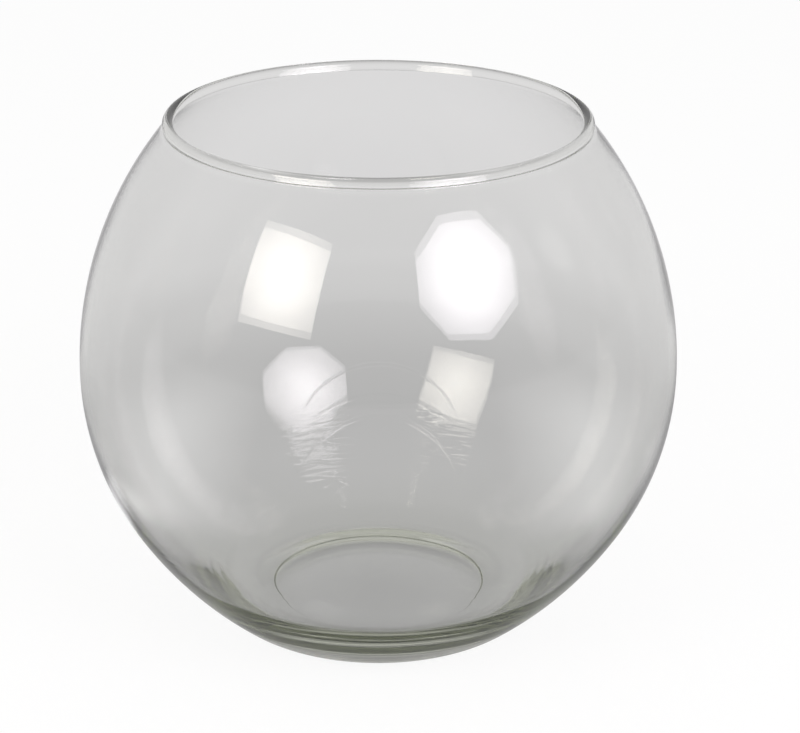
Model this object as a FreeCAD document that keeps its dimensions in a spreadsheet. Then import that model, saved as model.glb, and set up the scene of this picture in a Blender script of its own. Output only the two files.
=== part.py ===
import FreeCAD, Part
import math
import os

import Sketcher

# Clear glass rose bowl, blown in a mould as one piece and flame-polished at the mouth.
# Millimetres. The origin is the centre of the plane that the foot stands on, +Z is up, and the bowl is
# round about Z. Both outlines are drawn in the XZ plane: radius from Z first, then height.

SIZES = [
    ("body_radius", 100.0, "outside radius at the widest point"),
    ("equator_height", 89.0, "height of the widest point"),
    ("mouth_radius", 68.2, "radius to the centre of the rim bead"),
    ("rim_height", 173.2, "height of the centre of the rim bead"),
    ("foot_radius", 50.3, "radius where the flank would meet the table if the heel were sharp"),
    ("wall", 2.2, "glass thickness from the widest point up to the rim"),
    ("bead_stand", 0.7, "how far the rim bead stands out from each face of the wall"),
    ("neck_radius", 0.7, "rounding where the rim bead runs into the wall"),
    ("heel_radius", 12.0, "outside rounding from the flank to the foot"),
    ("floor_height", 3.8, "height of the inside floor"),
    ("inner_heel_radius", 50.0, "inside rounding from the floor to the flank"),
    ("foot_ring_width", 12.3, "from the sharp heel in to the edge of the push-up"),
    ("push_up_height", 1.6, "rise of the underside at its centre"),
    ("push_up_step", 0.6, "height of the short slope at the edge of the push-up"),
    ("push_up_rounding", 0.4, "rounding at the foot and the head of that slope"),
    ("tool_overrun", 5.0, "how far the cutting outline runs past the underside"),
    ("joint_radius_share", 0.7175, "where the flank meets the belly, from foot radius to body radius"),
    ("joint_height_share", 0.439, "where the flank meets the belly, from the floor to the widest point"),
]

START, END, CENTRE = 1, 2, 3  # the points of a line or an arc, as the sketcher numbers them
ORIGIN = (-1, START)
TOUCH = 0.001  # two points nearer than this are one

BEAD_RADIUS = "(Sizes.wall / 2 + Sizes.bead_stand)"
PUSH_UP_RADIUS = "(Sizes.foot_radius - Sizes.foot_ring_width)"


def fill_sheet(doc):
    """The driving sizes, one row each: alias, value, note."""
    sheet = doc.addObject("Spreadsheet::Sheet", "Sizes")
    for row, (alias, value, note) in enumerate(SIZES, start=1):
        sheet.set(f"A{row}", alias)
        sheet.set(f"B{row}", str(value))
        sheet.setAlias(f"B{row}", alias)
        sheet.set(f"C{row}", note)
    doc.recompute()


def new_outline(body, name):
    """An empty sketch on the body's own XZ plane."""
    sketch = body.newObject("Sketcher::SketchObject", name)
    plane = next(f for f in body.Origin.OriginFeatures if f.Role == "XZ_Plane")
    sketch.AttachmentSupport = [(plane, "")]
    sketch.MapMode = "FlatFace"
    return sketch


def point(sketch, radius, height):
    """The sketch point at a radius and a height that are given as expressions of the sheet."""
    return FreeCAD.Vector(sketch.evalExpression(radius), sketch.evalExpression(height), 0)


def add_line(sketch, start, end):
    return sketch.addGeometry(Part.LineSegment(start, end), False)


def add_arc(sketch, centre, start, end, construction=False):
    """An arc that runs anticlockwise about centre, from start to end."""
    to_start = start - centre
    to_end = end - centre
    circle = Part.Circle(centre, FreeCAD.Vector(0, 0, 1), to_start.Length)
    first = math.atan2(to_start.y, to_start.x)
    last = math.atan2(to_end.y, to_end.x)
    return sketch.addGeometry(Part.ArcOfCircle(circle, first, last), construction)


def meet(sketch, one, other):
    sketch.addConstraint(Sketcher.Constraint("Coincident", *one, *other))


def flow(sketch, one, other):
    """Two ends meet and run on in one direction."""
    sketch.addConstraint(Sketcher.Constraint("Tangent", *one, *other))


def level(sketch, one, other):
    """Two points at one height."""
    sketch.addConstraint(Sketcher.Constraint("Horizontal", *one, *other))


def upright(sketch, one, other):
    """Two points at one radius."""
    sketch.addConstraint(Sketcher.Constraint("Vertical", *one, *other))


def bind(sketch, constraint, name, expression):
    """Adds a constraint that takes its size from the sheet."""
    index = sketch.addConstraint(constraint)
    sketch.renameConstraint(index, name)
    sketch.setExpression(f"Constraints.{name}", expression)


def dimension(sketch, kind, spot, name, expression):
    """A named distance of one point from the origin: DistanceX is its radius, DistanceY its height."""
    value = sketch.evalExpression(expression)
    bind(sketch, Sketcher.Constraint(kind, *ORIGIN, *spot, value), name, expression)


def set_radius(sketch, arc, name, expression):
    value = sketch.evalExpression(expression)
    bind(sketch, Sketcher.Constraint("Radius", arc, value), name, expression)


def centre_level_with(widest, other):
    """The centre of the arc that is upright at its widest point and passes through the other point."""
    inset = widest.x - other.x
    rise = other.y - widest.y
    radius = (inset**2 + rise**2) / (2 * inset)
    return FreeCAD.Vector(widest.x - radius, widest.y, 0)


def crossing(centre, radius, other_centre, other_radius):
    """Where two circles cross, on the left of the way from one centre to the other."""
    way = other_centre - centre
    along = (way.dot(way) + radius**2 - other_radius**2) / (2 * way.Length)
    across = math.sqrt(radius**2 - along**2)
    forward = FreeCAD.Vector(way).normalize()
    return centre + forward * along + FreeCAD.Vector(-forward.y, forward.x, 0) * across


def add_wall_middle(sketch):
    """The wall's middle line from the widest point up to the rim bead's centre, as construction."""
    start_radius = "Sizes.body_radius - Sizes.wall / 2"
    low = point(sketch, start_radius, "Sizes.equator_height")
    high = point(sketch, "Sizes.mouth_radius", "Sizes.rim_height")
    centre = centre_level_with(low, high)
    middle = add_arc(sketch, centre, low, high, construction=True)
    level(sketch, (middle, CENTRE), (middle, START))
    dimension(sketch, "DistanceX", (middle, START), "middle_radius", start_radius)
    dimension(sketch, "DistanceY", (middle, START), "equator_height", "Sizes.equator_height")
    dimension(sketch, "DistanceX", (middle, END), "mouth_radius", "Sizes.mouth_radius")
    dimension(sketch, "DistanceY", (middle, END), "rim_height", "Sizes.rim_height")
    return middle, centre, high


def add_wall_face(sketch, side, floor, equator, middle, shoulder_centre, bead_centre):
    """One face of the glass, from its sharp lower corner to the rim bead: four arcs, each tangent to the next.

    The flank runs into the belly, which is upright at the widest point. The shoulder keeps an even distance
    from the wall's middle line, and the neck rounds the corner between the shoulder and the bead.
    side is outer or inner; floor and equator are expressions, the corner's height and the widest radius.
    """
    joint_radius = f"Sizes.foot_radius + ({equator} - Sizes.foot_radius) * Sizes.joint_radius_share"
    joint_height = f"{floor} + (Sizes.equator_height - {floor}) * Sizes.joint_height_share"
    corner = point(sketch, "Sizes.foot_radius", floor)
    joint = point(sketch, joint_radius, joint_height)
    widest = point(sketch, equator, "Sizes.equator_height")
    outward = 1 if side == "outer" else -1
    neck_radius = sketch.evalExpression("Sizes.neck_radius")
    bead_radius = sketch.evalExpression(BEAD_RADIUS)

    belly_centre = centre_level_with(widest, joint)
    inward = (belly_centre - joint).normalize()
    chord = corner - joint
    flank_centre = joint + inward * (chord.dot(chord) / (2 * chord.dot(inward)))
    shoulder_radius = widest.x - shoulder_centre.x
    neck_reach = shoulder_radius + outward * neck_radius
    neck_centre = crossing(bead_centre, bead_radius + neck_radius, shoulder_centre, neck_reach)
    shoulder_end = shoulder_centre + (neck_centre - shoulder_centre).normalize() * shoulder_radius
    bead_end = bead_centre + (neck_centre - bead_centre).normalize() * bead_radius

    flank = add_arc(sketch, flank_centre, corner, joint)
    belly = add_arc(sketch, belly_centre, joint, widest)
    shoulder = add_arc(sketch, shoulder_centre, widest, shoulder_end)
    if side == "outer":
        neck = add_arc(sketch, neck_centre, bead_end, shoulder_end)
        neck_low, neck_high = (neck, END), (neck, START)
    else:
        neck = add_arc(sketch, neck_centre, shoulder_end, bead_end)
        neck_low, neck_high = (neck, START), (neck, END)

    flow(sketch, (flank, END), (belly, START))
    flow(sketch, (belly, END), (shoulder, START))
    level(sketch, (middle, START), (belly, END))
    meet(sketch, (middle, CENTRE), (shoulder, CENTRE))
    flow(sketch, (shoulder, END), neck_low)
    dimension(sketch, "DistanceX", (flank, START), f"{side}_foot_radius", "Sizes.foot_radius")
    dimension(sketch, "DistanceX", (belly, START), f"{side}_joint_radius", joint_radius)
    dimension(sketch, "DistanceY", (belly, START), f"{side}_joint_height", joint_height)
    dimension(sketch, "DistanceX", (belly, END), f"{side}_widest_radius", equator)
    set_radius(sketch, neck, f"{side}_neck_radius", "Sizes.neck_radius")
    return corner, (flank, START), bead_end, neck_high


def draw_section(body):
    """The glass cut through on one side of the axis: foot, outer face, rim bead, inner face and floor."""
    sketch = new_outline(body, "section_outline")
    middle, shoulder_centre, bead_centre = add_wall_middle(sketch)
    spine = (middle, shoulder_centre, bead_centre)
    outer = ("outer", "0", "Sizes.body_radius")
    inner = ("inner", "Sizes.floor_height", "(Sizes.body_radius - Sizes.wall)")
    outside, outer_low, bead_start, outer_neck = add_wall_face(sketch, *outer, *spine)
    inside, inner_low, bead_end, inner_neck = add_wall_face(sketch, *inner, *spine)
    bead = add_arc(sketch, bead_centre, bead_start, bead_end)
    meet(sketch, (bead, CENTRE), (middle, END))
    flow(sketch, outer_neck, (bead, START))
    flow(sketch, (bead, END), inner_neck)
    set_radius(sketch, bead, "bead_radius", BEAD_RADIUS)

    axis_low = point(sketch, "0", "0")
    axis_high = point(sketch, "0", "Sizes.floor_height")
    foot = add_line(sketch, axis_low, outside)
    floor = add_line(sketch, inside, axis_high)
    axis = add_line(sketch, axis_high, axis_low)
    meet(sketch, (foot, START), ORIGIN)
    level(sketch, (foot, START), (foot, END))
    meet(sketch, (foot, END), outer_low)
    meet(sketch, (floor, START), inner_low)
    level(sketch, (floor, START), (floor, END))
    dimension(sketch, "DistanceY", (floor, END), "floor_height", "Sizes.floor_height")
    meet(sketch, (axis, START), (floor, END))
    meet(sketch, (axis, END), ORIGIN)
    upright(sketch, (axis, START), (axis, END))
    return sketch


def draw_push_up(body):
    """The underside's hollow: a short slope at its edge, then a shallow dome that is level at the axis."""
    sketch = new_outline(body, "push_up_outline")
    dome_radius = f"{PUSH_UP_RADIUS} - Sizes.push_up_step"
    below = "-Sizes.tool_overrun"
    axis_low = point(sketch, "0", below)
    edge_low = point(sketch, PUSH_UP_RADIUS, below)
    edge = point(sketch, PUSH_UP_RADIUS, "0")
    dome_edge = point(sketch, dome_radius, "Sizes.push_up_step")
    dome_top = point(sketch, "0", "Sizes.push_up_height")
    rise = dome_top.y - dome_edge.y
    dome_centre = FreeCAD.Vector(0, dome_top.y - (dome_edge.x**2 + rise**2) / (2 * rise), 0)

    base = add_line(sketch, axis_low, edge_low)
    side = add_line(sketch, edge_low, edge)
    slope = add_line(sketch, edge, dome_edge)
    dome = add_arc(sketch, dome_centre, dome_edge, dome_top)
    axis = add_line(sketch, dome_top, axis_low)
    meet(sketch, (base, END), (side, START))
    meet(sketch, (side, END), (slope, START))
    meet(sketch, (slope, END), (dome, START))
    meet(sketch, (dome, END), (axis, START))
    meet(sketch, (axis, END), (base, START))
    level(sketch, (base, START), (base, END))
    upright(sketch, (side, START), (side, END))
    level(sketch, (side, END), ORIGIN)
    upright(sketch, (axis, START), ORIGIN)
    upright(sketch, (axis, END), ORIGIN)
    upright(sketch, (dome, CENTRE), ORIGIN)
    dimension(sketch, "DistanceY", (base, START), "base_height", below)
    dimension(sketch, "DistanceX", (side, END), "edge_radius", PUSH_UP_RADIUS)
    dimension(sketch, "DistanceX", (dome, START), "dome_radius", dome_radius)
    dimension(sketch, "DistanceY", (dome, START), "step_height", "Sizes.push_up_step")
    dimension(sketch, "DistanceY", (dome, END), "push_up_height", "Sizes.push_up_height")
    return sketch


def turn(body, kind, name, sketch):
    """Turns an outline a full circle about Z, as a Revolution or a Groove, and says how the volume changed."""
    before = 0.0 if body.Shape.isNull() else body.Shape.Volume
    feature = body.newObject(f"PartDesign::{kind}", name)
    feature.Profile = sketch
    feature.ReferenceAxis = (sketch, ["V_Axis"])
    feature.Angle = 360
    body.Document.recompute()
    change = body.Shape.Volume - before
    print(f"{name}: {change / 1000:+.2f} cm3")
    if (change > 0) != (kind == "Revolution"):
        raise RuntimeError(f"{name} changed nothing, or the wrong way")


def is_ring_at(edge, radius, height):
    """True for the closed edge about Z that has this radius and height."""
    if len(edge.Vertexes) != 1:
        return False
    spot = edge.Vertexes[0].Point
    return math.dist((math.hypot(spot.x, spot.y), spot.z), (radius, height)) < TOUCH


def round_rings(body, name, rounding, *places):
    """Rounds the ring edges at the given places, each a radius and a height as expressions of the sheet."""
    base = body.Tip
    picked = []
    for radius, height in places:
        ring = (body.evalExpression(radius), body.evalExpression(height))
        picked += [f"Edge{n}" for n, edge in enumerate(base.Shape.Edges, start=1) if is_ring_at(edge, *ring)]
    if len(picked) != len(places):
        raise RuntimeError(f"{name}: {len(picked)} rings to round, not {len(places)}")
    feature = body.newObject("PartDesign::Fillet", name)
    feature.Base = (base, picked)
    feature.setExpression("Radius", rounding)
    body.Document.recompute()
    if feature.Shape.isNull():
        raise RuntimeError(f"{name}: the rounding failed")


def make_bowl(doc):
    body = doc.addObject("PartDesign::Body", "Bowl")
    body.Label = "glass_bowl"
    turn(body, "Revolution", "blown_glass", draw_section(body))
    round_rings(body, "heel", "Sizes.heel_radius", ("Sizes.foot_radius", "0"))
    round_rings(body, "inner_heel", "Sizes.inner_heel_radius", ("Sizes.foot_radius", "Sizes.floor_height"))
    turn(body, "Groove", "push_up", draw_push_up(body))
    slope_foot = (PUSH_UP_RADIUS, "0")
    slope_head = (f"{PUSH_UP_RADIUS} - Sizes.push_up_step", "Sizes.push_up_step")
    round_rings(body, "push_up_edge", "Sizes.push_up_rounding", slope_foot, slope_head)
    return body


doc = FreeCAD.newDocument("rose_bowl")
fill_sheet(doc)
parts = [make_bowl(doc)]
doc.recompute()

sketches = doc.findObjects("Sketcher::SketchObject")
failed = [item.Name for item in doc.Objects if "Invalid" in item.State or "Error" in item.State]
loose = [sketch.Name for sketch in sketches if not sketch.FullyConstrained]
if failed or loose:
    raise RuntimeError(f"failed: {failed}, not fully constrained: {loose}")
for part in parts:
    if part.Shape.isNull() or not part.Shape.isValid() or len(part.Shape.Solids) != 1:
        raise RuntimeError(f"{part.Label} is not one valid solid")

os.makedirs("parts", exist_ok=True)
for part in parts:
    box = part.Shape.BoundBox
    volume = part.Shape.Volume / 1000
    part.Shape.exportStep(f"parts/{part.Label}.step")
    print(f"{part.Label}: {box.XLength:.2f} x {box.YLength:.2f} x {box.ZLength:.2f} mm, {volume:.1f} cm3")
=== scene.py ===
import math

import bpy
import numpy as np
from mathutils import Euler, Matrix, Vector


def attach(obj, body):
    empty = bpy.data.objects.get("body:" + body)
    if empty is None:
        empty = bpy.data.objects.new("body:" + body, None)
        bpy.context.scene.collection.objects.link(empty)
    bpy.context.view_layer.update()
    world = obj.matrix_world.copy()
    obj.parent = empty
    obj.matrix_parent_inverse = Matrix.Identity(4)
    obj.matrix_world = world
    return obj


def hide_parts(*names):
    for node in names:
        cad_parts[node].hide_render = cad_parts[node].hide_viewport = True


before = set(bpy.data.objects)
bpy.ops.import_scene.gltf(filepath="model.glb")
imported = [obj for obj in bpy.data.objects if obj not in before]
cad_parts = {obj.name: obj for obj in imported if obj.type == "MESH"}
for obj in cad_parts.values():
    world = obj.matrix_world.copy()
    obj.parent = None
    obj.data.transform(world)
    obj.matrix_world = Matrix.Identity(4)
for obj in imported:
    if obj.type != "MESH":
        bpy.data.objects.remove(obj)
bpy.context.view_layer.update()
print("frame loaded")

mm = 0.001


def linearColour(hexText):
    # an sRGB hex value, such as f2f4f3, turned to linear red, green, blue and alpha 1
    values = [int(hexText[i:i + 2], 16) / 255 for i in (0, 2, 4)]
    return [v / 12.92 if v <= 0.04045 else ((v + 0.055) / 1.055) ** 2.4 for v in values] + [1.0]


def addNode(tree, kind, inputs):
    # inputs maps a setting, or an input by its name or number, to its value or to the output that feeds
    # it. Stops are a ramp's rows of (position, grey).
    node = tree.nodes.new(kind)
    for key, value in inputs.items():
        if key == "stops":
            elements = node.color_ramp.elements
            while len(elements) < len(value):
                elements.new(1.0)
            for element, (position, grey) in zip(elements, value):
                element.position = position
                element.color = (grey, grey, grey, 1)
        elif isinstance(value, bpy.types.NodeSocket):
            tree.links.new(value, node.inputs[key])
        elif isinstance(key, str) and hasattr(node, key):
            setattr(node, key, value)
        else:
            node.inputs[key].default_value = value
    return node


def sumOfProducts(tree, rows):
    # the sum of the rows, each the product of its factors. A factor is a number, an output, or a smooth
    # step of an output, given as (output, start, end, level before, level after).
    total = 0.0
    for row in rows:
        product = 1.0
        for factor in row:
            if isinstance(factor, tuple):
                value, start, end, before, after = factor
                factor = addNode(tree, "ShaderNodeMapRange", {
                    "interpolation_type": "SMOOTHSTEP", "Value": value, "From Min": start, "From Max": end,
                    "To Min": before, "To Max": after,
                }).outputs["Result"]
            times = addNode(tree, "ShaderNodeMath", {"operation": "MULTIPLY", 0: product, 1: factor})
            product = times.outputs["Value"]
        plus = addNode(tree, "ShaderNodeMath", {"operation": "ADD", 0: total, 1: product})
        total = plus.outputs["Value"]
    return total


def emptyTree(owner):
    # the node tree of a material or a world, with nothing in it yet
    owner.use_nodes = True
    owner.node_tree.nodes.clear()
    return owner.node_tree


def placeObject(name, data):
    # an object of a mesh or a camera, at the origin of the scene
    thing = bpy.data.objects.new(name, data)
    bpy.context.scene.collection.objects.link(thing)
    return thing


camera = {
    "position": (0.0, -741.75, 388.69),  # millimetres: 800 from the bowl's middle and 22 degrees above it
    "turn": (67.851, -0.195, -0.479),  # degrees about X, Y and Z
    "lens": 106.65,  # millimetres
    "sensor": 36.0,  # its width, in millimetres
}


def makeCamera():
    # turned about X, then Y, then Z, and moved to its position
    data = bpy.data.cameras.new("camera")
    data.lens = camera["lens"]
    data.sensor_width = camera["sensor"]
    eye = placeObject("camera", data)
    turn = Euler([math.radians(angle) for angle in camera["turn"]])
    eye.matrix_world = Matrix.LocRotScale(Vector(camera["position"]) * mm, turn, None)
    bpy.context.scene.camera = eye


makeCamera()
print("camera placed")

bowl = {  # millimetres. The heel, the floor, the push-up and the rim are fitted closer than in the solid
    "bodyRadius": 100.0,
    "equatorHeight": 89.0,
    "mouthRadius": 68.2,  # to the centre of the rim bead
    "rimHeight": 173.2,
    "footRadius": 50.3,  # to the sharp heel, before it is rounded
    "wall": 2.2,
    "rimOutside": 0.1,  # from the bead's centre outwards, to where the outer face runs into the bead
    "rimInside": 1.2,  # the same inwards, for the inner face, so the bead stands outside most of the wall
    "beadRadius": 1.8,
    "neckRadius": 0.7,
    "heelRadius": 20.0,  # a soft heel and a long inner one make the broad dark crescent
    "floorHeight": 4.4,
    "innerHeelRadius": 67.0,
    "pushUpRadius": 38.0,
    "pushUpHeight": 1.0,
    "pushUpStep": 0.45,
    "pushUpRounding": 0.7,
    "jointRadiusShare": 0.7175,  # from the heel out to the equator, where the flank meets the belly
    "jointHeightShare": 0.439,  # the same, upwards
    "segments": 288,
    "spacing": 2.2,  # between the profile's points on the long arcs
    "fineSpacing": 0.35,  # on the bead and the small roundings
    "reliefSpacing": 0.75,  # on the inside near the floor, where the fine relief is
}

relief = {  # how the blown wall wanders on the inside, in millimetres and radians
    "waves": [(0.016, 90.0, 3), (0.012, 60.0, 5), (0.007, 38.0, 11)],  # depth, length, count round the bowl
    "waveStep": 2.1,  # from one wave's phase to the next one's
    "sway": 1.3,  # how far a wave swings to and fro, twice round the bowl
    "swayStep": 1.7,  # from one wave's swing to the next one's
    "rings": [(0.045, 3.8, 1), (0.027, 4.107, 2)],  # round the heel: depth, length, times the drift
    "drift": [(1.1, 3, 0.0, 0.4), (0.5, 7, 0.125, 0.0)],  # size, count round, turn a millimetre, start
    "ringZone": (6.0, 20.0),  # heights
    "fade": 6.0,  # over which the rings come and go
    "calmNearRim": 12.0,  # less and less relief this near to the bead
}


def arcPoints(centre, start, end, spacing):
    # points of a circle about centre from start up to, not with, end, by the shorter way: the angle runs
    # evenly. A point of the profile is a complex number, radius plus i times height.
    sweep = np.angle((end - centre) / (start - centre))
    count = max(2, int(math.ceil(abs(sweep * (start - centre)) / spacing)))
    return centre + (start - centre) * np.exp(1j * sweep * np.arange(count) / count)


def linePoints(start, end, spacing):
    # evenly spaced points from start up to, not with, end
    count = max(1, int(math.ceil(abs(end - start) / spacing)))
    return start + (end - start) * np.arange(count) / count


def unit(way):
    # the same direction, one long
    return way / abs(way)


def dot(first, second):
    # the dot product of two directions
    return (first * second.conjugate()).real


def centreLevelWith(widest, other):
    # the centre of the arc that is upright at its widest point and passes through the other
    inset = widest.real - other.real
    return widest - (inset**2 + (other.imag - widest.imag) ** 2) / (2 * inset)


def crossing(centre, radius, otherCentre, otherRadius):
    # where two circles cross, on the left of the way from one centre to the other
    way = otherCentre - centre
    along = (abs(way) ** 2 + radius**2 - otherRadius**2) / (2 * abs(way))
    return centre + unit(way) * (along + 1j * math.sqrt(radius**2 - along**2))


def wallFace(floor, equator, side, heelRadius):
    # the arcs of one face of the glass from the foot to the bead, as (centre, start, end) rows:
    # heel, flank, belly, shoulder, neck. Each arc touches the next. side is 1 outside and -1 inside.
    widest = complex(equator, bowl["equatorHeight"])
    corner = complex(bowl["footRadius"], floor)
    joint = complex(
        bowl["footRadius"] + (equator - bowl["footRadius"]) * bowl["jointRadiusShare"],
        floor + (bowl["equatorHeight"] - floor) * bowl["jointHeightShare"],
    )
    bellyCentre = centreLevelWith(widest, joint)
    inward = unit(bellyCentre - joint)
    flankRadius = abs(corner - joint) ** 2 / (2 * dot(corner - joint, inward))
    flankCentre = joint + inward * flankRadius
    beadCentre = complex(bowl["mouthRadius"], bowl["rimHeight"])
    middle = complex(bowl["bodyRadius"] - bowl["wall"] / 2, bowl["equatorHeight"])
    across = unit(beadCentre - centreLevelWith(middle, beadCentre))
    stand = bowl["rimOutside"] if side > 0 else -bowl["rimInside"]
    shoulderCentre = centreLevelWith(widest, beadCentre + across * stand)
    shoulderRadius = abs(widest - shoulderCentre)
    neckCentre = crossing(
        beadCentre, bowl["beadRadius"] + bowl["neckRadius"],
        shoulderCentre, shoulderRadius + side * bowl["neckRadius"],
    )
    neckLow = shoulderCentre + unit(neckCentre - shoulderCentre) * shoulderRadius
    neckHigh = beadCentre + unit(neckCentre - beadCentre) * bowl["beadRadius"]
    heelHeight = floor + heelRadius
    reach = math.sqrt((flankRadius - heelRadius) ** 2 - (heelHeight - flankCentre.imag) ** 2)
    heelCentre = complex(flankCentre.real + reach, heelHeight)
    heelLow = heelCentre - 1j * heelRadius
    heelHigh = flankCentre + unit(heelCentre - flankCentre) * flankRadius
    return [
        (heelCentre, heelLow, heelHigh),
        (flankCentre, heelHigh, joint),
        (bellyCentre, joint, widest),
        (shoulderCentre, widest, neckLow),
        (neckCentre, neckLow, neckHigh),
    ]


def roundedCorner(before, corner, after, radius):
    # the arc, as (centre, start, end), that rounds the corner between two straight runs
    back, ahead = unit(before - corner), unit(after - corner)
    half = abs(np.angle(back / ahead)) / 2
    start, end = corner + back * radius / math.tan(half), corner + ahead * radius / math.tan(half)
    return corner + unit(back + ahead) * radius / math.sin(half), start, end


def bowlProfile():
    # the outline of the cut glass, from the axis below, round the outside, over the rim and down the inside
    # to the axis on the floor, and the number of the inside's first point
    coarse, fine, close = bowl["spacing"], bowl["fineSpacing"], bowl["reliefSpacing"]
    outside = wallFace(0.0, bowl["bodyRadius"], 1, bowl["heelRadius"])
    inside = wallFace(bowl["floorHeight"], bowl["bodyRadius"] - bowl["wall"], -1, bowl["innerHeelRadius"])
    domeRadius = bowl["pushUpRadius"] - bowl["pushUpStep"]
    domeEdge = complex(domeRadius, bowl["pushUpStep"])
    rise = bowl["pushUpHeight"] - bowl["pushUpStep"]
    domeCurve = (domeRadius**2 + rise**2) / (2 * rise)
    domeCentre = 1j * (bowl["pushUpHeight"] - domeCurve)
    footEdge = complex(bowl["pushUpRadius"], 0.0)
    domeWay = domeEdge + unit((domeEdge - domeCentre) * 1j)
    head = roundedCorner(domeWay, domeEdge, footEdge, bowl["pushUpRounding"])
    foot = roundedCorner(domeEdge, footEdge, outside[0][1], bowl["pushUpRounding"])
    beadCentre = complex(bowl["mouthRadius"], bowl["rimHeight"])
    beadTop = beadCentre + 1j * bowl["beadRadius"]
    runs = [
        arcPoints(domeCentre, 1j * bowl["pushUpHeight"], head[1], coarse),
        arcPoints(*head, fine / 2),
        linePoints(head[2], foot[1], fine),
        arcPoints(*foot, fine / 2),
        linePoints(foot[2], outside[0][1], coarse),
        arcPoints(*outside[0], coarse / 2),
        arcPoints(*outside[1], coarse),
        arcPoints(*outside[2], coarse),
        arcPoints(*outside[3], coarse),
        arcPoints(*outside[4], fine / 2),
        arcPoints(beadCentre, outside[4][2], beadTop, fine),
    ]
    insideStart = sum(len(run) for run in runs)
    runs += [
        arcPoints(beadCentre, beadTop, inside[4][2], fine),
        arcPoints(inside[4][0], inside[4][2], inside[4][1], fine / 2),
        arcPoints(inside[3][0], inside[3][2], inside[3][1], coarse),
        arcPoints(inside[2][0], inside[2][2], inside[2][1], coarse),
        arcPoints(inside[1][0], inside[1][2], inside[1][1], close),
        arcPoints(inside[0][0], inside[0][2], inside[0][1], close),
        linePoints(inside[0][1], 1j * bowl["floorHeight"], coarse),
        np.array([1j * bowl["floorHeight"]]),
    ]
    return np.concatenate(runs), insideStart


def zone(height, low, high, fade):
    # 1 between two heights and 0 outside them, with a smooth change over the fade
    rise = np.clip((height - low) / fade, 0, 1)
    fall = np.clip((high - height) / fade, 0, 1)
    return rise**2 * (3 - 2 * rise) * fall**2 * (3 - 2 * fall)


def insideRelief(along, height, angle):
    # depth of the relief at a distance along the wall, a height and an angle round the axis. The waves
    # are a sum of sines that run aslant and sway. The rings are sines along the wall whose phase drifts a
    # little round the bowl.
    depth = 0
    for number, (size, length, count) in enumerate(relief["waves"]):
        sway = relief["sway"] * np.sin(2 * angle + relief["swayStep"] * number)
        phase = 2 * math.pi * along / length + count * angle + relief["waveStep"] * number
        depth = depth + size * np.sin(phase + sway)
    drift = 0
    for size, count, slant, start in relief["drift"]:
        drift = drift + size * np.sin(count * angle + slant * along + start)
    heel = zone(height, *relief["ringZone"], relief["fade"])
    for size, length, share in relief["rings"]:
        depth = depth + size * np.sin(2 * math.pi * along / length + share * drift) * heel
    top = bowl["rimHeight"] - bowl["beadRadius"]
    return depth * zone(height, bowl["floorHeight"] - relief["fade"], top, relief["calmNearRim"])


def turnedMesh(name, radius, height, segments):
    # a body of revolution: x = radius cos(angle), y = radius sin(angle), z = height, where radius and
    # height are grids of (profile point, angle). The first and last rows are poles, one point each.
    rows = radius.shape[0]
    angle = np.linspace(0, 2 * math.pi, segments, endpoint=False)
    grid = np.stack([radius * np.cos(angle), radius * np.sin(angle), height], axis=-1)
    points = np.concatenate([grid[:1, 0], grid[1:-1].reshape(-1, 3), grid[-1:, 0]])
    here = 1 + np.arange((rows - 3) * segments)
    there = here + np.where(here % segments == 0, 1 - segments, 1)
    quads = np.stack([here, there, there + segments, here + segments], axis=1)
    first = 1 + np.arange(segments)
    firstNext = np.roll(first, -1)
    last = first + (rows - 3) * segments
    lastNext = np.roll(last, -1)
    top = len(points) - 1
    fans = np.concatenate([
        np.stack([np.zeros_like(first), firstNext, first], axis=1),
        np.stack([last, lastNext, np.full_like(last, top)], axis=1),
    ])
    mesh = bpy.data.meshes.new(name)
    mesh.from_pydata((points * mm).tolist(), [], quads.tolist() + fans.tolist())
    mesh.polygons.foreach_set("use_smooth", np.ones(len(mesh.polygons), dtype=bool))
    mesh.update()
    return mesh


def makeBowl():
    # the turned profile, with each point of the inside moved along the normal: point plus normal times depth
    profile, insideStart = bowlProfile()
    segments = bowl["segments"]
    angle = np.linspace(0, 2 * math.pi, segments, endpoint=False)
    normal = 1j * np.gradient(profile)
    normal = normal / np.abs(normal)
    along = np.concatenate([[0], np.cumsum(np.abs(np.diff(profile)))])
    depth = insideRelief(along[:, None], profile.imag[:, None], angle[None, :])
    depth[:insideStart] = 0
    depth[-1] = 0
    surface = profile[:, None] + normal[:, None] * depth
    mesh = turnedMesh("bowl_glass", surface.real, surface.imag, segments)
    piece = placeObject("bowl_glass", mesh)
    print("bowl:", len(profile), "profile points,", len(mesh.polygons), "faces")
    return piece


glass = {  # soda-lime glass, blown in a mould and flame-polished: clear, smooth, grey-green where it is deep
    "ior": 1.52,
    "roughness": 0.0,
    "tint": "c7cbb6",  # what is left of white light after a way of one over the density
    "density": 28.0,  # per metre
    "backWall": (35.0, 50.0),  # millimetres behind the axis over which the marks on the back wall set in
    "wrinkles": {  # chill marks of the mould, low on the back wall, and fainter round the heel: millimetres
        "length": 13.0, "width": 1.7, "distortion": 0.6, "fade": 7.0,
        "heights": (10.0, 38.0), "depth": 0.055, "heelHeights": (-8.0, 14.0), "heelDepth": 0.025,
    },
    "seams": {  # fine curved marks on the back wall: millimetres
        "radius": 31.0, "middles": (28.0, 11.0), "width": 0.9, "depth": 0.045,
        "stretch": 1.4,  # of a height, by the wall's slope
        "upper": (0.25, 0.55),  # above the middle, over which a seam sets in, as shares of its radius
    },
}


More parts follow.
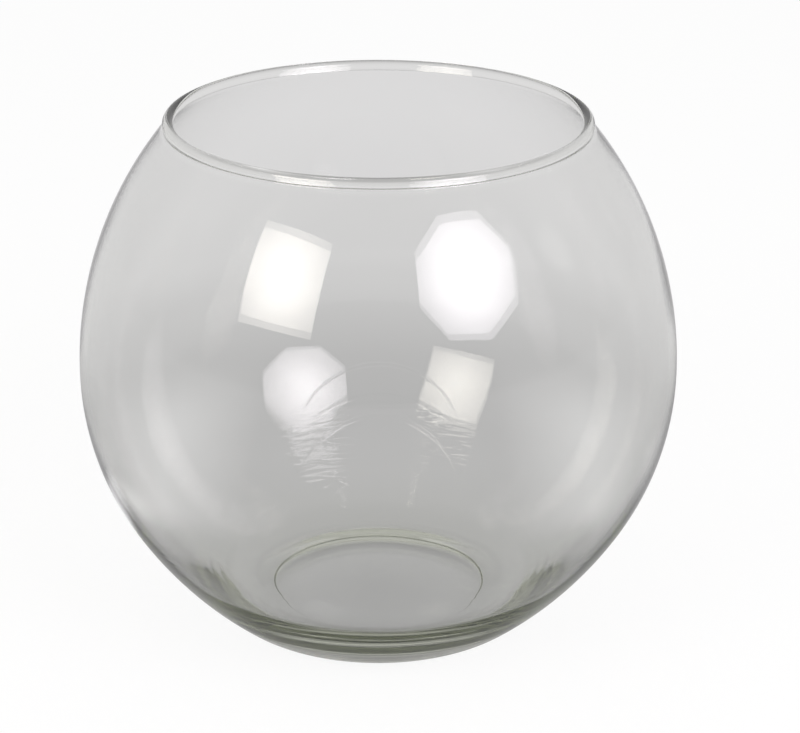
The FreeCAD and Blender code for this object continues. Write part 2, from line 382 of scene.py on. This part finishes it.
def markedHeight(tree):
    # the height of the fine marks in metres. The wrinkles are a noise drawn out sideways, between two
    # heights. A seam is a ridge where the distance from its middle, with the height stretched, is near
    # its radius.
    place = addNode(tree, "ShaderNodeTexCoord", {}).outputs["Object"]
    x, y, z = addNode(tree, "ShaderNodeSeparateXYZ", {"Vector": place}).outputs
    backStart, backEnd = glass["backWall"]
    back = (y, backStart * mm, backEnd * mm, 0.0, 1.0)
    wrinkles, seams = glass["wrinkles"], glass["seams"]
    sideways, upwards = 1 / (wrinkles["length"] * mm), 1 / (wrinkles["width"] * mm)
    drawn = addNode(tree, "ShaderNodeMapping", {"Scale": (sideways, sideways, upwards), "Vector": place})
    noise = addNode(tree, "ShaderNodeTexNoise", {
        "Scale": 1.0, "Detail": 1.0, "Distortion": wrinkles["distortion"], "Vector": drawn.outputs["Vector"],
    }).outputs["Fac"]
    rows = []
    for heights, depth, where in (("heights", "depth", [back]), ("heelHeights", "heelDepth", [])):
        low, high = wrinkles[heights]
        fade = wrinkles["fade"]
        rising = (z, low * mm, (low + fade) * mm, 0.0, 1.0)
        falling = (z, (high - fade) * mm, high * mm, wrinkles[depth] * mm, 0.0)
        rows.append([noise, rising, falling] + where)
    for middle in seams["middles"]:
        rise = sumOfProducts(tree, [[z, seams["stretch"]], [-middle * mm, seams["stretch"]]])
        flat = addNode(tree, "ShaderNodeCombineXYZ", {"X": x, "Y": rise}).outputs["Vector"]
        reach = addNode(tree, "ShaderNodeVectorMath", {"operation": "LENGTH", 0: flat}).outputs["Value"]
        off = addNode(tree, "ShaderNodeMath", {"operation": "SUBTRACT", 0: reach, 1: seams["radius"] * mm})
        away = addNode(tree, "ShaderNodeMath", {"operation": "ABSOLUTE", 0: off.outputs["Value"]})
        ridge = (away.outputs["Value"], 0.0, seams["width"] / 2 * mm, seams["depth"] * mm, 0.0)
        start, end = (share * seams["radius"] * mm for share in seams["upper"])
        rows.append([ridge, (rise, start, end, 0.0, 1.0), back])
    return sumOfProducts(tree, rows)


def makeGlass():
    # bends and reflects light as glass does, with sharp images of the lamps, and turns a faint grey-green
    # where the way through it is long
    material = bpy.data.materials.new("soda_lime_glass")
    tree = emptyTree(material)
    marks = addNode(tree, "ShaderNodeBump", {"Strength": 1.0, "Distance": 1.0, "Height": markedHeight(tree)})
    surface = addNode(tree, "ShaderNodeBsdfPrincipled", {
        "Base Color": (1, 1, 1, 1), "Roughness": glass["roughness"], "IOR": glass["ior"],
        "Transmission Weight": 1.0, "Normal": marks.outputs["Normal"],
    })
    volume = addNode(tree, "ShaderNodeVolumeAbsorption", {
        "Color": linearColour(glass["tint"]), "Density": glass["density"],
    })
    addNode(tree, "ShaderNodeOutputMaterial", {
        "Surface": surface.outputs["BSDF"], "Volume": volume.outputs["Volume"],
    })
    return material


bowlPiece = makeBowl()
bowlPiece.data.materials.append(makeGlass())
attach(bowlPiece, "root")
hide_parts("glass_bowl")
print("bowl made")

studio = {  # a pale paper sweep that is white to the eye, and that the glass sees as the grey that it shows
    "white": "ffffff",
    "paper": "f6f6f5",
    "sweep": "fffeff",  # the cast of the grey that the glass sees
    "floorSize": 8.0,  # metres, as every length here but the next
    "floorDrop": 0.3,  # millimetres under the foot, so that the two faces never fight
    "shadowShare": 0.1,  # how much of the floor's white comes from light on it, so how deep the shadow is
    "fill": 0.72,  # the sky's light on the floor
    "skyStops": [(0.0, 0.63), (0.57, 0.6), (1.0, 0.58)],  # by the height of the way, 1 straight up
    "skyTilt": 0.15,  # more than that at the back, less at the front
    "floorStops": [  # by the distance from the bowl's axis: grey in the bowl's own shadow, paler further off
        (0.0, 0.35), (0.03, 0.4), (0.04, 0.38), (0.05, 0.46), (0.07, 0.5), (0.15, 0.47), (0.22, 0.51),
        (0.35, 0.7), (0.6, 0.76),
    ],
    "besideStops": [(0.05, 0.0), (0.088, 0.22), (0.115, 0.12)],  # light gathered at the shadow's sides
    "besideStart": (0.02, 0.06),  # behind the axis, over which it sets in
    "besideReach": (0.15, 0.24),  # from the axis, over which it fades away
    "paintedLightMiddle": (-0.118, 0.048, 0.0),  # a painted pool of light on the floor on the left, that the glass sees
    "paintedLightEdge": (0.01, 0.032),  # from its middle, over which it fades away
    "paintedLightGain": 0.55,
    "frontShade": -0.14,  # what the shade under the bowl's front takes away
    "frontEdge": (-0.05, -0.02),  # along Y, over which it ends
    "frontReach": (0.09, 0.13),  # from the axis, over which it ends
    "bounces": 64,  # light caught in the thick heel or the rim leaves it only after many turns
}


def seenThroughGlass(tree, path):
    # 1 for a way that a glass or a shiny surface has bent or thrown back
    return addNode(tree, "ShaderNodeMath", {
        "operation": "MAXIMUM", 0: path.outputs["Is Glossy Ray"], 1: path.outputs["Is Transmission Ray"],
    }).outputs["Value"]


def makeWorld():
    # white to the camera, a plain fill on the floor, and to the glass the grey sweep, by the height of the
    # way and with a tilt towards the back
    world = bpy.data.worlds.new("studio")
    bpy.context.scene.world = world
    tree = emptyTree(world)
    path = addNode(tree, "ShaderNodeLightPath", {})
    way = addNode(tree, "ShaderNodeTexCoord", {}).outputs["Generated"]
    along = addNode(tree, "ShaderNodeSeparateXYZ", {"Vector": way}).outputs
    ramp = addNode(tree, "ShaderNodeValToRGB", {"Fac": along["Z"], "stops": studio["skyStops"]})
    level = sumOfProducts(tree, [[along["Y"], studio["skyTilt"]], [ramp.outputs["Color"]]])
    white, grey = linearColour(studio["white"]), linearColour(studio["sweep"])
    fill = addNode(tree, "ShaderNodeBackground", {"Color": white, "Strength": studio["fill"]})
    sweep = addNode(tree, "ShaderNodeBackground", {"Color": grey, "Strength": level})
    backdrop = addNode(tree, "ShaderNodeBackground", {"Color": white, "Strength": 1.0})
    behind = addNode(tree, "ShaderNodeMixShader", {
        "Fac": seenThroughGlass(tree, path), 1: fill.outputs["Background"], 2: sweep.outputs["Background"],
    })
    surface = addNode(tree, "ShaderNodeMixShader", {
        "Fac": path.outputs["Is Camera Ray"], 1: behind.outputs["Shader"], 2: backdrop.outputs["Background"],
    })
    addNode(tree, "ShaderNodeOutputWorld", {"Surface": surface.outputs["Shader"]})


def floorLevel(tree):
    # the grey of the floor that the glass sees, with its shadow and light painted in: by the distance from
    # the axis, with the painted light gathered beside the bowl's shadow and a painted pool of light on the
    # left added and the painted shade under its front taken away
    place = addNode(tree, "ShaderNodeTexCoord", {}).outputs["Object"]
    along = addNode(tree, "ShaderNodeSeparateXYZ", {"Vector": place}).outputs
    distance = addNode(tree, "ShaderNodeVectorMath", {"operation": "LENGTH", 0: place}).outputs["Value"]
    off = addNode(tree, "ShaderNodeVectorMath", {
        "operation": "DISTANCE", 0: place, 1: studio["paintedLightMiddle"],
    }).outputs["Value"]
    across = addNode(tree, "ShaderNodeMath", {"operation": "ABSOLUTE", 0: along["X"]}).outputs["Value"]
    ground = addNode(tree, "ShaderNodeValToRGB", {"Fac": distance, "stops": studio["floorStops"]})
    beside = addNode(tree, "ShaderNodeValToRGB", {"Fac": across, "stops": studio["besideStops"]})
    besideStart = (along["Y"], *studio["besideStart"], 0.0, 1.0)
    besideReach = (distance, *studio["besideReach"], 1.0, 0.0)
    frontEdge = (along["Y"], *studio["frontEdge"], studio["frontShade"], 0.0)
    frontReach = (distance, *studio["frontReach"], 1.0, 0.0)
    return sumOfProducts(tree, [
        [ground.outputs["Color"]],
        [beside.outputs["Color"], besideStart, besideReach],
        [frontEdge, frontReach],
        # a painted pool of light on the floor on the left
        [(off, *studio["paintedLightEdge"], studio["paintedLightGain"], 0.0)],
    ])


def makeFloor():
    # a square of matt paper: to the camera nearly all a white of its own, so that the shadow stays pale,
    # and to the glass the grey sweep, a glow with a painted shadow and painted light in it
    half = studio["floorSize"] / 2
    low = -studio["floorDrop"] * mm
    corners = [(-half, -half, low), (half, -half, low), (half, half, low), (-half, half, low)]
    mesh = bpy.data.meshes.new("floor")
    mesh.from_pydata(corners, [], [(0, 1, 2, 3)])
    material = bpy.data.materials.new("pale_paper_sweep")
    tree = emptyTree(material)
    path = addNode(tree, "ShaderNodeLightPath", {})
    # to the glass the floor glows with a painted shadow and painted light, not with light that falls on it
    sweep = addNode(tree, "ShaderNodeEmission", {
        "Color": linearColour(studio["sweep"]), "Strength": floorLevel(tree),
    })
    paper = addNode(tree, "ShaderNodeBsdfDiffuse", {"Color": linearColour(studio["paper"])})
    white = addNode(tree, "ShaderNodeEmission", {"Color": linearColour(studio["white"]), "Strength": 1.0})
    shown = addNode(tree, "ShaderNodeMixShader", {
        "Fac": studio["shadowShare"], 1: white.outputs["Emission"], 2: paper.outputs["BSDF"],
    })
    lit = addNode(tree, "ShaderNodeMixShader", {
        "Fac": path.outputs["Is Camera Ray"], 1: paper.outputs["BSDF"], 2: shown.outputs["Shader"],
    })
    surface = addNode(tree, "ShaderNodeMixShader", {
        "Fac": seenThroughGlass(tree, path), 1: lit.outputs["Shader"], 2: sweep.outputs["Emission"],
    })
    addNode(tree, "ShaderNodeOutputMaterial", {"Surface": surface.outputs["Shader"]})
    mesh.materials.append(material)
    placeObject("floor", mesh)


softboxes = {  # metres. Each faces the mouth. Radii are across and upwards, glow at the middle and the rim
    "square_softbox": {
        "centre": (-0.684, -0.789, 0.703), "corners": 4, "radii": (0.438, 0.392), "turn": 47.5,
        "tint": "fffaf3", "glow": (8.0, 2.6),
    },
    "octagon_softbox": {
        "centre": (0.648, -0.8, 0.731), "corners": 8, "radii": (0.447, 0.38), "turn": 9.5,
        "tint": "fffaff", "glow": (9.2, 2.7),
    },
}


def makeSoftbox(name, box):
    # a flat polygon about its object's origin, its corners evenly round an ellipse, turned to face the
    # bowl. The cloth's glow falls evenly with the distance from its middle.
    middle, rim = box["glow"]
    wide, high = box["radii"]
    angle = math.radians(box["turn"]) + np.arange(box["corners"]) * 2 * math.pi / box["corners"]
    points = np.stack([wide * np.cos(angle), high * np.sin(angle), np.zeros_like(angle)], axis=1)
    mesh = bpy.data.meshes.new(name)
    mesh.from_pydata(points.tolist(), [], [tuple(range(len(points)))])
    lamp = placeObject(name, mesh)
    centre = Vector(box["centre"])
    ahead = (Vector((0, 0, bowl["rimHeight"] * mm)) - centre).normalized()
    side = ahead.cross(Vector((0, 0, 1))).normalized()
    axes = Matrix((side, side.cross(ahead), -ahead)).transposed().to_4x4()
    lamp.matrix_world = Matrix.Translation(centre) @ axes
    material = bpy.data.materials.new(name)
    tree = emptyTree(material)
    place = addNode(tree, "ShaderNodeTexCoord", {}).outputs["Object"]
    distance = addNode(tree, "ShaderNodeVectorMath", {"operation": "LENGTH", 0: place}).outputs["Value"]
    level = addNode(tree, "ShaderNodeMapRange", {
        "Value": distance, "From Max": wide, "To Min": middle, "To Max": rim,
    }).outputs["Result"]
    glow = addNode(tree, "ShaderNodeEmission", {"Color": linearColour(box["tint"]), "Strength": level})
    addNode(tree, "ShaderNodeOutputMaterial", {"Surface": glow.outputs["Emission"]})
    mesh.materials.append(material)


makeWorld()
makeFloor()
for name, box in softboxes.items():
    makeSoftbox(name, box)
print("studio made")

scene = bpy.context.scene
scene.view_settings.view_transform = "Standard"
scene.cycles.max_bounces = studio["bounces"]
scene.cycles.glossy_bounces = studio["bounces"]
scene.cycles.transmission_bounces = studio["bounces"]
